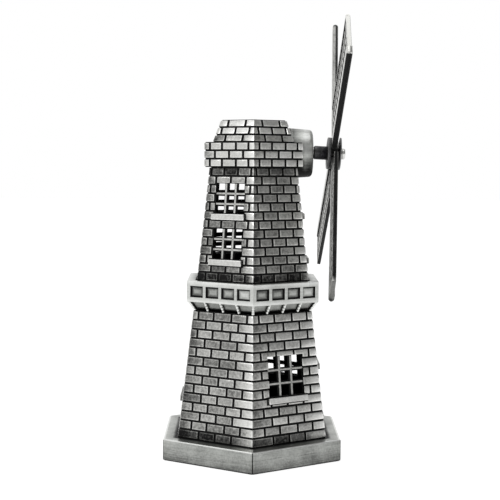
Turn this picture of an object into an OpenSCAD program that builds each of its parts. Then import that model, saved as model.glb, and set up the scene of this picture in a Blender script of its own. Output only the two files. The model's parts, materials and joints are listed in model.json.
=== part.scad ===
// Hexagonal Dutch windmill figurine: antique-plated castings soldered at mitred corners,
// with a four-sail rotor that spins on a pivot screw.
// Millimetres, +Z up, origin on the underside at the middle of the base plate, rotor towards -Y.

/* [Base] */
// Corner radius of the hexagonal base plate
base_r = 40; // [38:0.5:44]
// Height of the base plate
base_h = 8.4; // [7:0.2:12]
// Width of the rim left around the pad pocket
base_rim = 2.4; // [1.5:0.1:4]
// Thickness of the pad glued into the underside
pad_h = 1.6; // [1:0.1:2]

/* [Tower] */
// Corner radius of the lower storey at its foot
lower_r = 34.1; // [32:0.1:36]
// Corner radius of the lower storey at its head
lower_top_r = 27.3; // [26:0.1:30]
// Height of the lower storey
lower_h = 49.7; // [46:0.1:60]
// Corner radius of the upper storey at its foot
upper_r = 25.8; // [24:0.1:27]
// Corner radius of the upper storey at its head
upper_top_r = 20.3; // [19.5:0.1:22]
// Height of the upper storey
upper_h = 44.2; // [40:0.1:54]
// Thickness of the wall castings
wall = 1.8; // [1.6:0.1:2.6]

/* [Gallery] */
// Corner radius of the gallery
gallery_r = 29.65; // [28.5:0.05:32]
// Height of the sloping underside, from the wall to the rail
corbel_h = 3.6; // [2.4:0.1:6]
// Height of the rail
rail_h = 8.2; // [7:0.1:12]
// Width of one sunk panel in the rail
panel_w = 5.9; // [4:0.1:6]
// Height of one sunk panel in the rail
panel_h = 4.5; // [3:0.1:5]
// Distance between two sunk panels
panel_pitch = 7; // [6.4:0.1:7.2]

/* [Cap] */
// Corner radius of the cap band
band_r = 22.7; // [22:0.1:24]
// Height of the cap band
band_h = 9.7; // [8:0.1:12]
// Corner radius of the roof at its foot
roof_r = 19.05; // [18.5:0.05:21]
// Corner radius of the roof at its top
roof_top_r = 15.25; // [13:0.05:17]
// Height of the roof
roof_h = 8.8; // [6:0.1:12]

/* [Brickwork] */
// Width of the upright joints between bricks
joint_w = 0.75; // [0.4:0.05:1]
// Height of the level joints between courses
bed_h = 0.55; // [0.3:0.05:0.8]
// Depth of the joints
joint_depth = 0.45; // [0.3:0.05:0.7]

/* [Windows] */
// Width of the lower window openings
lower_window_w = 15.9; // [12:0.1:17]
// Height of the lower window openings
lower_window_h = 15.7; // [12:0.1:18]
// Width of the upper window openings
upper_window_w = 12.9; // [9:0.1:14]
// Height of the upper window openings
upper_window_h = 12.1; // [9:0.1:14]
// Width of the glazing bars
bar_w = 0.9; // [0.6:0.05:1.4]
// How far the grilles sit behind the brick faces
grille_recess = 0.5; // [0.2:0.05:0.8]
// Thickness of the grilles
grille_t = 1; // [0.6:0.05:1.2]

/* [Door] */
// Width of the front door
door_w = 12; // [9:0.5:14]
// Height of the front door to the crown of its arch
door_h = 22.4; // [18:0.2:23]

/* [Rotor] */
// Height of the middle of the rotor
hub_z = 119.75; // [116:0.05:124]
// Distance of the sails' middle plane from the tower's axis
hub_out = 32.1; // [31:0.05:36]
// Droop of the pivot screw in its bore, in degrees
droop = 2.6; // [0:0.1:3]
// Turn of the pivot screw to the side, in degrees
side_turn = -0.8; // [-1:0.05:1]
// Rest angle of the first sail from upright, in degrees
sail_phase = 56.5; // [0:0.1:89]
// Length of a sail from the middle of the hub
sail_l = 65.3; // [50:0.1:66]
// Width of the lattice, from the middle of the stock
sail_w = 15.3; // [10:0.1:18]
// Where the lattice starts, from the middle of the hub
lattice_in = 9.2; // [9:0.1:16]
// Width of the stock
stock_w = 3.5; // [3:0.1:4]
// Thickness of the stock
stock_t = 2.25; // [1.6:0.05:2.4]
// Thickness of the outer rail and the end bar
rim_t = 1.6; // [1:0.1:2.2]
// Thickness of the battens inside the lattice
lattice_t = 1.1; // [0.8:0.1:1.6]
// Number of openings along a sail
lattice_cells = 14; // [8:1:16]
// Radial running clearance on the pivot screw
pivot_gap = 0.05; // [0.02:0.01:0.1]

/* [Hidden] */
$fn = 64;
// Each side of the hexagon: its name and the bearing of its outward normal.
SIDES = [
    ["front", 270], ["front_right", 330], ["back_right", 30],
    ["back", 90], ["back_left", 150], ["front_left", 210]
];
LOWER_WINDOW_SIDES = ["front_right", "back", "front_left"];
UPPER_WINDOW_SIDES = ["front", "back_right", "back_left"];
SCREW_SIDES = ["front", "back_right", "back_left"];
UPPER_WINDOW_ROWS = ["low", "high"];
SAILS = ["a", "b", "c", "d"];

// Levels up the tower.
lower_z = base_h;
corbel_z = lower_z + lower_h;
rail_z = corbel_z + corbel_h;
upper_z = rail_z + rail_h;
band_z = upper_z + upper_h;
roof_z = band_z + band_h;

// Window places: heights above each storey's foot, measured up the sloping wall.
lower_window_s = 18;
back_window_s = 15;
upper_window_s = [8.5, 26.2];
sill_h = 2.2;
sill_out = 1.3;
sill_over = 0.85;
lintel_s = 25.7;

// Upright joints of the two alternating courses, from the middle of a side.
lower_joints = [[-7.3, 0, 7.3], [-10.9, -4, 4, 10.9]];
upper_joints = [[-8.85, -3.1, 3.1, 8.85], [-6.6, 0, 6.6]];
band_joints = [[-8.6, -3.1, 3.1, 8.6], [-6.3, 0, 6.3]];
roof_joints = [[-3.9, 3.9], [-6.2, 0, 6.2]];
lower_courses = 14;
upper_courses = 13;
cap_courses = 3;

// Gallery: the ribs follow the slope from the wall out to the rail.
gallery_in_r = 23.6;
panel_depth = 0.9;
rib_w = panel_pitch - panel_w;
soffit_back = 1.3;

// Cap: six band sides round a hollow. The axle housing is a cup let into the front side,
// which is thicker and has a socket for it, and into the roof and the wall.
band_in_r = upper_top_r - 2.5;
housing_r = 9.4;
housing_back_r = 10;
housing_out = 23.5;
housing_in = 14;
housing_wall = 2;
housing_face = 2.2;
housing_edge = 1.6;
socket_back = 2;
socket_in_r = (housing_in - socket_back) / cos(30);

// Pivot line, in the rotor's own frame: z forwards along the screw from the sails' middle plane.
pivot_r = 1.25;
pivot_bore_r = pivot_r + pivot_gap;
end_play = 0.15;
boss_r = 2.7;
boss_back = -7.95;
flange_r = 6.3;
flange_t = 1.35;
cap_plate_r = 6.45;
cap_plate_t = 0.6;
cap_boss_r = 3.2;
cap_boss_h = 0.75;
washer_r = 2.3;
rear_washer_t = 0.4;
front_washer_t = 0.5;
screw_head_r = 2.2;
screw_head_h = 1.2;
screw_head_edge = 0.6;
nut_flats = 5;
nut_h = 2;
nut_gap = 0.12;
stock_in = boss_r + 0.05;
// Two sails lie a layer behind the middle plane and two in front of it. Their roots fill both layers.
layers = [-0.25, 0.25, -0.25, 0.25];
root_t = stock_t + layers[1] - layers[0];
root_out = flange_r + 0.2;
cap_front = root_t / 2 + cap_boss_h + cap_plate_t;
housing_face_z = housing_out - hub_out;

// The sails are a little out of true. Forwards is positive, in degrees: each lattice on its stock,
// and each stock on its root.
lattice_set = [-2.7, -1.9, 0.4, 3.8];
stock_set = [-0.15, -0.4, -0.3, -0.15];
rail_w = 0.9;

// Base screws, from below into a lug behind three of the walls.
screw_r = 1.5;
base_screw_head_r = 2.75;
base_screw_head_h = 2;
base_screw_l = 10;
counterbore_r = 3.1;
counterbore_z = 4;
lug_w = 7;
lug_d = 5.6;
lug_h = 8;

function has(list, item) = len([for (entry = list) if (entry == item) entry]) > 0;
function side_bearing(name) = [for (side = SIDES) if (side[0] == name) side[1]][0];
function mid_r(corner_r) = corner_r * cos(30);
function lean(r0, r1, h) = atan((mid_r(r0) - mid_r(r1)) / h);
function slope_length(r0, r1, h) = norm([mid_r(r0) - mid_r(r1), h]);
function window_s(side) = side == "back" ? back_window_s : lower_window_s;
function screw_out() = mid_r(lower_r) - wall - lug_d / 2;

// One sixth of a hexagonal ring, facing +X, whose outside and inside radii may change with height.
module sector(r0, r1, in_r0, in_r1, z0, h) {
    function corner(r, z, side) = [r * cos(30), side * r * sin(30), z];
    function ring(r, in_r, z) = [
        corner(r, z, -1), corner(r, z, 1), corner(in_r, z, 1), corner(in_r, z, -1)
    ];
    polyhedron(
        concat(ring(r0, in_r0, z0), ring(r1, in_r1, z0 + h)),
        [[0, 1, 2, 3], [7, 6, 5, 4], [0, 4, 5, 1], [1, 5, 6, 2], [2, 6, 7, 3], [3, 7, 4, 0]]
    );
}

// Puts flat work on a leaning side that faces +X: x across, y up the slope, z outwards.
module on_slope(r0, r1, z0, h) {
    translate([mid_r(r0), 0, z0])
        rotate([0, -lean(r0, r1, h), 0])
            rotate([90, 0, 90])
                children();
}

// The joints of a brick face as one flat pattern: a bed under every course, and upright joints.
module joint_pattern(joints, courses, length, half_w) {
    pitch = length / courses;
    for (course = [0 : courses])
        translate([0, course * pitch])
            square([2 * half_w, bed_h], center = true);
    for (course = [0 : courses - 1], x = joints[course % 2])
        translate([x, (course + 0.5) * pitch])
            square([joint_w, pitch], center = true);
}

module brick_joints(joints, courses, r0, r1, z0, h) {
    on_slope(r0, r1, z0, h)
        translate([0, 0, -joint_depth])
            linear_extrude(2 * joint_depth)
                joint_pattern(joints, courses, slope_length(r0, r1, h), r0);
}

module wall_slab(r0, r1, z0, h) {
    inset = wall / cos(30);
    sector(r0, r1, r0 - inset, r1 - inset, z0, h);
}

// In the flat frame of on_slope(): an opening through a wall, and a ledge whose top is at s.
module opening(w, h, s) {
    translate([-w / 2, s, -2 * wall])
        cube([w, h, 4 * wall]);
}

module ledge(w, s) {
    translate([-w / 2, s - sill_h, -wall / 2])
        cube([w, sill_h, wall / 2 + sill_out]);
}

// Crossed glazing bars that divide an opening into three by three panes.
module grille(w, h, s) {
    translate([-w / 2, s, -grille_recess - grille_t])
        linear_extrude(grille_t)
            for (i = [1, 2]) {
                translate([i * w / 3 - bar_w / 2, 0])
                    square([bar_w, h]);
                translate([0, i * h / 3 - bar_w / 2])
                    square([w, bar_w]);
            }
}

module door_outline(w, h) {
    translate([-w / 2, 0])
        square([w, h - w / 2]);
    translate([0, h - w / 2])
        circle(d = w);
}

module screw_lug() {
    difference() {
        translate([screw_out() - lug_d / 2, -lug_w / 2, lower_z])
            cube([lug_d, lug_w, lug_h]);
        translate([screw_out(), 0, lower_z - 1])
            cylinder(r = screw_r, h = lug_h - 0.5);
    }
}

module lower_wall(side) {
    color("silver")
        rotate(side_bearing(side)) {
            difference() {
                wall_slab(lower_r, lower_top_r, lower_z, lower_h);
                brick_joints(lower_joints, lower_courses, lower_r, lower_top_r, lower_z, lower_h);
                on_slope(lower_r, lower_top_r, lower_z, lower_h) {
                    if (has(LOWER_WINDOW_SIDES, side))
                        opening(lower_window_w, lower_window_h, window_s(side));
                    if (side == "front")
                        translate([0, -1, -wall / 2])
                            linear_extrude(wall)
                                door_outline(door_w, door_h + 1);
                }
            }
            on_slope(lower_r, lower_top_r, lower_z, lower_h) {
                if (has(LOWER_WINDOW_SIDES, side))
                    ledge(lower_window_w + 2 * sill_over, window_s(side));
                if (side == "front")
                    ledge(door_w + 4 * sill_over, lintel_s + sill_h);
            }
            if (has(SCREW_SIDES, side))
                screw_lug();
        }
}

module lower_window(side) {
    color("gray")
        rotate(side_bearing(side))
            on_slope(lower_r, lower_top_r, lower_z, lower_h)
                grille(lower_window_w, lower_window_h, window_s(side));
}

module front_door() {
    reveal = 0.3;
    color("dimgray")
        rotate(side_bearing("front"))
            on_slope(lower_r, lower_top_r, lower_z, lower_h)
                intersection() {
                    translate([0, 0, -wall / 2])
                        linear_extrude(wall / 2 - reveal)
                            door_outline(door_w, door_h);
                    translate([-door_w, 0.1, -wall])
                        cube([2 * door_w, door_h, 2 * wall]);
                }
}

module upper_wall(side) {
    color("silver")
        rotate(side_bearing(side)) {
            difference() {
                wall_slab(upper_r, upper_top_r, upper_z, upper_h);
                brick_joints(upper_joints, upper_courses, upper_r, upper_top_r, upper_z, upper_h);
                if (has(UPPER_WINDOW_SIDES, side))
                    on_slope(upper_r, upper_top_r, upper_z, upper_h)
                        for (s = upper_window_s)
                            opening(upper_window_w, upper_window_h, s);
                if (side == "front")
                    rotate(-side_bearing(side))
                        housing_envelope();
            }
            if (has(UPPER_WINDOW_SIDES, side))
                on_slope(upper_r, upper_top_r, upper_z, upper_h)
                    for (s = upper_window_s)
                        ledge(upper_window_w + 2 * sill_over, s);
        }
}

module upper_window(side, row) {
    color("gray")
        rotate(side_bearing(side))
            on_slope(upper_r, upper_top_r, upper_z, upper_h)
                grille(upper_window_w, upper_window_h, upper_window_s[row]);
}

module rib_cutter(from_y, to_y) {
    translate([gallery_in_r * cos(30), from_y, corbel_z])
        cube([gallery_r - gallery_in_r, to_y - from_y, corbel_h]);
}

// One side of the gallery: a rail with four sunk panels, on a sloping soffit with ribs.
module gallery(side) {
    color("silver")
        rotate(side_bearing(side)) {
            difference() {
                sector(gallery_r, gallery_r, gallery_in_r, gallery_in_r, rail_z, rail_h);
                for (i = [-1.5 : 1 : 1.5])
                    translate([mid_r(gallery_r), i * panel_pitch, rail_z + rail_h / 2])
                        cube([2 * panel_depth, panel_w, panel_h], center = true);
            }
            sector(lower_top_r - soffit_back, gallery_r - soffit_back,
                gallery_in_r, gallery_in_r, corbel_z, corbel_h);
            intersection() {
                sector(lower_top_r, gallery_r, gallery_in_r, gallery_in_r, corbel_z, corbel_h);
                union() {
                    for (y = [-panel_pitch, 0, panel_pitch])
                        rib_cutter(y - rib_w / 2, y + rib_w / 2);
                    rib_cutter(-gallery_r / 2, rib_w / 2 - lower_top_r / 2);
                    rib_cutter(lower_top_r / 2 - rib_w / 2, gallery_r / 2);
                }
            }
        }
}

module base_plate() {
    color("silver")
        difference() {
            cylinder(r = base_r, h = base_h, $fn = 6);
            translate([0, 0, -1])
                cylinder(r = base_r - base_rim, h = pad_h + 1, $fn = 6);
            for (side = SCREW_SIDES)
                rotate(side_bearing(side))
                    translate([screw_out(), 0, 0]) {
                        cylinder(r = screw_r + 0.1, h = base_h + 1);
                        cylinder(r = counterbore_r, h = counterbore_z);
                    }
        }
}

module base_pad() {
    color("black")
        cylinder(r = base_r - base_rim, h = pad_h, $fn = 6);
}

module base_screws() {
    color("darkgray")
        for (side = SCREW_SIDES)
            rotate(side_bearing(side))
                translate([screw_out(), 0, counterbore_z]) {
                    translate([0, 0, -base_screw_head_h])
                        cylinder(r = base_screw_head_r, h = base_screw_head_h);
                    cylinder(r = screw_r, h = base_screw_l);
                }
}

// The space the axle housing takes out of the castings around it.
module housing_envelope() {
    translate([0, -housing_in, hub_z])
        rotate([90, 0, 0])
            cylinder(r1 = housing_back_r, r2 = housing_r, h = housing_out - housing_in);
}

module cap_side(side) {
    in_r = side == "front" ? socket_in_r : band_in_r;
    color("silver")
        rotate(side_bearing(side))
            difference() {
                sector(band_r, band_r, in_r, in_r, band_z, band_h);
                brick_joints(band_joints, cap_courses, band_r, band_r, band_z, band_h);
                rotate(-side_bearing(side))
                    housing_envelope();
            }
}

module cap_roof() {
    color("silver")
        difference() {
            translate([0, 0, roof_z])
                cylinder(r1 = roof_r, r2 = roof_top_r, h = roof_h, $fn = 6);
            for (side = SIDES)
                rotate(side[1])
                    brick_joints(roof_joints, cap_courses, roof_r, roof_top_r, roof_z, roof_h);
            housing_envelope();
        }
}

// A drafted cup with a rounded front edge, bored through its face along the pivot line.
module axle_housing() {
    length = housing_out - housing_in;
    edge_r = housing_r - housing_edge;
    color("silver")
        difference() {
            translate([0, -housing_in, hub_z])
                rotate([90, 0, 0])
                    difference() {
                        rotate_extrude()
                            polygon(concat(
                                [[0, 0], [housing_back_r, 0]],
                                [for (a = [0 : 15 : 90]) [
                                    edge_r + housing_edge * cos(a),
                                    length - housing_edge + housing_edge * sin(a)
                                ]],
                                [[0, length]]
                            ));
                        translate([0, 0, -1])
                            cylinder(r = housing_r - housing_wall, h = length - housing_face + 1);
                    }
            on_pivot()
                translate([0, 0, housing_face_z - 2 * housing_face])
                    cylinder(r = pivot_bore_r, h = 4 * housing_face);
        }
}

// The rotor's own frame: z forwards along the pivot screw, y up, origin in the sails' middle plane.
module on_pivot() {
    translate([0, -hub_out, hub_z])
        rotate([90 + droop, 0, side_turn])
            children();
}

module rotor_hub() {
    color("dimgray")
        on_pivot()
            difference() {
                union() {
                    translate([0, 0, boss_back])
                        cylinder(r = boss_r, h = root_t / 2 - boss_back);
                    translate([0, 0, -root_t / 2 - flange_t])
                        cylinder(r = flange_r, h = flange_t);
                }
                translate([0, 0, boss_back - 1])
                    cylinder(r = pivot_bore_r, h = root_t - boss_back + 2);
            }
}

// A stock clamped between the flange and the hub plate, with a lattice of rails and battens on one side.
module sail(number) {
    color("gray")
        on_pivot()
            rotate(sail_phase + number * 90) {
                translate([-stock_w / 2, stock_in, -root_t / 2])
                    cube([stock_w, root_out - stock_in, root_t]);
                translate([0, root_out, layers[number]])
                    rotate([stock_set[number], 0, 0])
                        translate([0, -root_out, 0]) {
                            stock();
                            rotate([0, -lattice_set[number], 0])
                                lattice();
                        }
            }
}

// The stock's end is rounded through its thickness.
module stock() {
    round_r = stock_t / 2;
    translate([-stock_w / 2, 0, 0])
        rotate([90, 0, 90])
            linear_extrude(stock_w)
                polygon(concat(
                    [[root_out - 1, -round_r]],
                    [for (a = [-90 : 15 : 90]) [sail_l - round_r + round_r * cos(a), round_r * sin(a)]],
                    [[root_out - 1, round_r]]
                ));
}

module lattice() {
    translate([0, 0, -lattice_t / 2])
        linear_extrude(lattice_t)
            battens();
    translate([0, 0, -rim_t / 2])
        linear_extrude(rim_t) {
            translate([sail_w - rail_w, lattice_in])
                square([rail_w, sail_l - lattice_in]);
            translate([0, sail_l - rail_w])
                square([sail_w, rail_w]);
        }
}

module battens() {
    pitch = (sail_l - lattice_in - rail_w) / lattice_cells;
    translate([(sail_w + stock_w / 2) / 2 - rail_w, lattice_in])
        square([rail_w, sail_l - lattice_in]);
    for (i = [0 : lattice_cells])
        translate([0, lattice_in + i * pitch])
            square([sail_w, rail_w]);
}

module hub_plate() {
    color("dimgray")
        on_pivot()
            difference() {
                union() {
                    translate([0, 0, root_t / 2])
                        cylinder(r = cap_boss_r, h = cap_boss_h + cap_plate_t);
                    translate([0, 0, root_t / 2 + cap_boss_h])
                        cylinder(r = cap_plate_r, h = cap_plate_t);
                }
                cylinder(r = pivot_bore_r, h = cap_front + 1);
            }
}

module washer(z, thickness) {
    on_pivot()
        translate([0, 0, z])
            difference() {
                cylinder(r = washer_r, h = thickness);
                translate([0, 0, -1])
                    cylinder(r = pivot_r, h = thickness + 2);
            }
}

module rear_washer() {
    color("gray")
        washer(boss_back - end_play / 2 - rear_washer_t, rear_washer_t);
}

module front_washer() {
    color("gray")
        washer(cap_front + end_play, front_washer_t);
}

// A pan-head screw with a cross recess, whose head rests on the front washer.
module pivot_screw() {
    head_z = cap_front + end_play + front_washer_t;
    tail_z = housing_face_z - housing_face - nut_gap - nut_h - 1;
    recess_l = 2.4;
    recess_w = 0.5;
    recess_d = 0.7;
    color("darkgray")
        on_pivot() {
            translate([0, 0, tail_z])
                cylinder(r = pivot_r, h = head_z - tail_z);
            translate([0, 0, head_z])
                difference() {
                    rotate_extrude()
                        polygon(concat(
                            [[0, 0], [screw_head_r, 0]],
                            [for (a = [0 : 15 : 90]) [
                                screw_head_r - screw_head_edge * (1 - cos(a)),
                                screw_head_h - screw_head_edge * (1 - sin(a))
                            ]],
                            [[0, screw_head_h]]
                        ));
                    for (turn = [0, 90])
                        rotate(turn)
                            translate([-recess_l / 2, -recess_w / 2, screw_head_h - recess_d])
                                cube([recess_l, recess_w, recess_d + 1]);
                }
        }
}

module pivot_nut() {
    color("darkgray")
        on_pivot()
            translate([0, 0, housing_face_z - housing_face - nut_gap - nut_h])
                difference() {
                    cylinder(d = nut_flats / cos(30), h = nut_h, $fn = 6);
                    translate([0, 0, -1])
                        cylinder(r = pivot_r, h = nut_h + 2);
                }
}

base_plate();
base_pad();
base_screws();
for (side = SIDES)
    lower_wall(side[0]);
for (side = LOWER_WINDOW_SIDES)
    lower_window(side);
front_door();
for (side = SIDES)
    gallery(side[0]);
for (side = SIDES)
    upper_wall(side[0]);
for (side = UPPER_WINDOW_SIDES, row = [0, 1])
    upper_window(side, row);
for (side = SIDES)
    cap_side(side[0]);
cap_roof();
axle_housing();
rotor_hub();
for (number = [0 : len(SAILS) - 1])
    sail(number);
hub_plate();
rear_washer();
front_washer();
pivot_screw();
pivot_nut();
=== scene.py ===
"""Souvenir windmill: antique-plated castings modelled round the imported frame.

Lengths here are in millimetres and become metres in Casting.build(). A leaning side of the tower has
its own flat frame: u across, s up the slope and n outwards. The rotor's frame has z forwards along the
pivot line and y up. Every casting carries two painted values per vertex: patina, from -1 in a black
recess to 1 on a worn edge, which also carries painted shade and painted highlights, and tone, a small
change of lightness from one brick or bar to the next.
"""

import json
import math
import random

import bmesh
import bpy
from mathutils import Matrix, Vector


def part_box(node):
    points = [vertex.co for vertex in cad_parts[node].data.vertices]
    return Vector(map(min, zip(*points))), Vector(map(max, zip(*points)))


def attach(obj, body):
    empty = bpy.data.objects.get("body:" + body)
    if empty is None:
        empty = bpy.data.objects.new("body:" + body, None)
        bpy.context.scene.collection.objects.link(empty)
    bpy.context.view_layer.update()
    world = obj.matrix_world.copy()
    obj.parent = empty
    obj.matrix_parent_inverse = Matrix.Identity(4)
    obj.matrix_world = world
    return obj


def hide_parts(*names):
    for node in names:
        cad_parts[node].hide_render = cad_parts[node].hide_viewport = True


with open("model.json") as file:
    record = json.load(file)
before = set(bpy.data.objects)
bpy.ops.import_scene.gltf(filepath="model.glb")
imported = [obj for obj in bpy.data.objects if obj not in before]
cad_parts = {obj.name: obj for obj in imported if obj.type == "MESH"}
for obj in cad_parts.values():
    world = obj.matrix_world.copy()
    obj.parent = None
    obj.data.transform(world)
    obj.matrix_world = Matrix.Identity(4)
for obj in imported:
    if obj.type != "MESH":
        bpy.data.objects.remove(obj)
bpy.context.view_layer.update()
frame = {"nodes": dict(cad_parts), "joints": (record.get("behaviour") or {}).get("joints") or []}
MM = 0.001
COS30 = math.cos(math.radians(30))
TAN30 = math.tan(math.radians(30))
SIDES = {
    "front": 270, "front_right": 330, "back_right": 30,
    "back": 90, "back_left": 150, "front_left": 210,
}
LOWER_WINDOW_SIDES = ("front_right", "back", "front_left")
UPPER_WINDOW_SIDES = ("front", "back_right", "back_left")
WINDOW_ROWS = ("low", "high")
SAILS = ("a", "b", "c", "d")
rng = random.Random(7)

# Brickwork: upright joints of the two alternating courses, from the middle of a side.
JOINT_W = 0.75
BED_H = 0.55
JOINT_DEPTH = 0.45
# Painted highlight on the bricks towards each side's right mitre (+u).
CORNER_PAINTED_HIGHLIGHT = 0.75
# Painted shade that darkens every brick of these sides.
SIDE_PAINTED_SHADE = {"lower_wall_back_left": -0.15, "upper_wall_back_left": -0.10}
LOWER_JOINTS = ((-7.3, 0, 7.3), (-10.9, -4, 4, 10.9))
UPPER_JOINTS = ((-8.85, -3.1, 3.1, 8.85), (-6.6, 0, 6.6))
BAND_JOINTS = ((-8.6, -3.1, 3.1, 8.6), (-6.3, 0, 6.3))
ROOF_JOINTS = ((-3.9, 3.9), (-6.2, 0, 6.2))
LOWER_COURSES = 14
UPPER_COURSES = 13
CAP_COURSES = 3
SLIVER = 0.5
ARCH_STEPS = 4
WALL = 1.8

# Ledges under the windows and over the door.
LEDGE_H = 2.2
LEDGE_OUT = 1.3
LEDGE_OVER = 0.85
LEDGE_EDGE = 0.18
# The black frame round a ledge: a dark joint widened into painted shadow.
LEDGE_SHADOW_MARGIN = 0.45
LEDGE_SHADOW_OUT = 0.2

# Grilles.
GRILLE_BAR = 0.9
GRILLE_T = 1.0
GRILLE_RECESS = 0.5
GRILLE_FLARE = 0.45

# Ring on the door: its radius and how far it is from the door's middle.
RING_R = 0.8
RING_U = 3.2

# Gallery rail.
PANEL_W = 5.9
PANEL_H = 4.5
PANEL_PITCH = 7.0
PANEL_DEPTH = 0.9
# How much lighter the floor of each sunk panel is, from left to right.
PANEL_LIGHTER = (0.0, 0.05, 0.1, 0.35)
RIB_W = 1.2
RIB_PROUD = 1.3

# Axle housing: inside radius, thickness of its face and size of its soft front edge.
HOUSING_BORE = 7.4
HOUSING_FACE = 2.2
HOUSING_EDGE = 1.6

# Sails. The stocks of a and c lie a layer behind the rotor's middle plane, and b and d in front.
STOCK_W = 3.5
RAIL_W = 0.9
RAIL_T = 1.6
BATTEN_T = 1.1
LATTICE_CELLS = 14
LAYERS = {"a": -0.25, "b": 0.25, "c": -0.25, "d": 0.25}
ROOT_CLEAR = 0.2
STOCK_GROOVE = 0.16
RAIL_GROOVE = 0.10
BATTEN_START = 1.0
BATTEN_SHORT = 1.4


# ---------------------------------------------------------------- measures taken from the frame

def points_of(node):
    """The vertices of a CAD node at rest, in millimetres."""
    return [v.co / MM for v in frame["nodes"][node].data.vertices]


def levels_of(node):
    """Lowest and highest z of a CAD node, in millimetres."""
    low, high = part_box(node)
    return low[2] / MM, high[2] / MM


def corner_radius(node, z):
    """Corner radius of the hexagon that a CAD node has at height z."""
    reach = [math.hypot(p.x, p.y) for p in points_of(node) if abs(p.z - z) < 0.02]
    return max(reach)


class Slope:
    """One side of a hexagonal storey whose corner radius goes from r0 at z0 to r1 at z1."""

    def __init__(self, bearing, r0, r1, z0, z1):
        turn = math.radians(bearing)
        self.out = Vector((math.cos(turn), math.sin(turn), 0))
        self.across = Vector((-math.sin(turn), math.cos(turn), 0))
        self.r0 = r0
        self.r1 = r1
        run = (r0 - r1) * COS30
        self.length = math.hypot(run, z1 - z0)
        self.up = (Vector((0, 0, z1 - z0)) - self.out * run) / self.length
        self.normal = self.across.cross(self.up)
        self.foot = self.out * (r0 * COS30) + Vector((0, 0, z0))

    def point(self, u, s, n):
        return self.foot + self.across * u + self.up * s + self.normal * n

    def local(self, p):
        d = p - self.foot
        return d.dot(self.across), d.dot(self.up), d.dot(self.normal)

    def half(self, s, n=0.0):
        """Half the width at height s, out to the mitre plane, n in front of the face."""
        radius = self.r0 + (self.r1 - self.r0) * s / self.length
        return radius / 2 + n * self.normal.dot(self.out) * TAN30

    def extent(self, node):
        """(u0, u1, s0, s1) of a CAD node in this side's frame."""
        spots = [self.local(p) for p in points_of(node)]
        return (
            min(p[0] for p in spots), max(p[0] for p in spots),
            min(p[1] for p in spots), max(p[1] for p in spots),
        )


def storey(node, bearing):
    z0, z1 = levels_of(node)
    return Slope(bearing, corner_radius(node, z0), corner_radius(node, z1), z0, z1)


PIVOT = frame["joints"][0]
PIVOT_POS = Vector(PIVOT["pos_m"]) / MM
PIVOT_Z = Vector(PIVOT["axis"]).normalized()
PIVOT_X = Vector((0, 0, 1)).cross(PIVOT_Z).normalized()
PIVOT_Y = PIVOT_Z.cross(PIVOT_X)


def rotor_point(x, y, z):
    return PIVOT_POS + PIVOT_X * x + PIVOT_Y * y + PIVOT_Z * z


def rotor_local(p):
    d = p - PIVOT_POS
    return Vector((d.dot(PIVOT_X), d.dot(PIVOT_Y), d.dot(PIVOT_Z)))


def turned(node):
    """((radius, z) of every vertex of a turned CAD node, in the rotor's frame)."""
    return [(math.hypot(p.x, p.y), p.z) for p in map(rotor_local, points_of(node))]


# ---------------------------------------------------------------- mesh work

class Casting:
    """Closed shells gathered into one piece."""

    def __init__(self, name):
        self.name = name
        self.points = []
        self.faces = []
        self.patina_and_shading = []
        self.tone = []

    def ring(self, points, patina_and_shading, tone=0.0):
        start = len(self.points)
        self.points.extend(points)
        values = patina_and_shading if isinstance(patina_and_shading, (list, tuple)) else [patina_and_shading] * len(points)
        self.patina_and_shading.extend(values)
        self.tone.extend([tone] * len(points))
        return list(range(start, start + len(points)))

    def bridge(self, a, b):
        for i in range(len(a)):
            j = (i + 1) % len(a)
            self.faces.append((a[i], a[j], b[j], b[i]))

    def loft(self, rings, tone=0.0, closed=False):
        """rings is a list of (points, patina). The ends are capped, or joined to each other."""
        loops = [self.ring(points, patina_and_shading, tone) for points, patina_and_shading in rings]
        for a, b in zip(loops, loops[1:]):
            self.bridge(a, b)
        if closed:
            self.bridge(loops[-1], loops[0])
        else:
            self.faces.append(tuple(reversed(loops[0])))
            self.faces.append(tuple(loops[-1]))

    def build(self, material, body, slot, *nodes, smooth=35):
        mesh = bpy.data.meshes.new(self.name)
        mesh.from_pydata([p * MM for p in self.points], [], self.faces)
        work = bmesh.new()
        work.from_mesh(mesh)
        bmesh.ops.recalc_face_normals(work, faces=work.faces)
        work.to_mesh(mesh)
        work.free()
        for name, values in (("patina_and_shading", self.patina_and_shading), ("tone", self.tone)):
            layer = mesh.attributes.new(name, "FLOAT", "POINT")
            layer.data.foreach_set("value", values)
        mesh.shade_smooth()
        mesh.set_sharp_from_angle(angle=math.radians(smooth))
        mesh.materials.append(material)
        piece = bpy.data.objects.new(self.name, mesh)
        bpy.context.scene.collection.objects.link(piece)
        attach(piece, body)
        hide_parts(*nodes)
        return piece


def inset(corners, by):
    """Corners of a counter-clockwise polygon after edge i, from corner i, moves inwards by by[i]."""
    lines = []
    for i, p in enumerate(corners):
        q = corners[(i + 1) % len(corners)]
        along = (Vector(q) - Vector(p)).normalized()
        inwards = Vector((-along.y, along.x))
        lines.append((Vector(p) + inwards * by[i], along))
    result = []
    for i, (p, d) in enumerate(lines):
        o, e = lines[i - 1]
        cross = e.x * d.y - e.y * d.x
        if abs(cross) < 1e-6:
            result.append(p)
            continue
        t = ((p.x - o.x) * d.y - (p.y - o.y) * d.x) / cross
        result.append(o + e * t)
    return result


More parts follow.
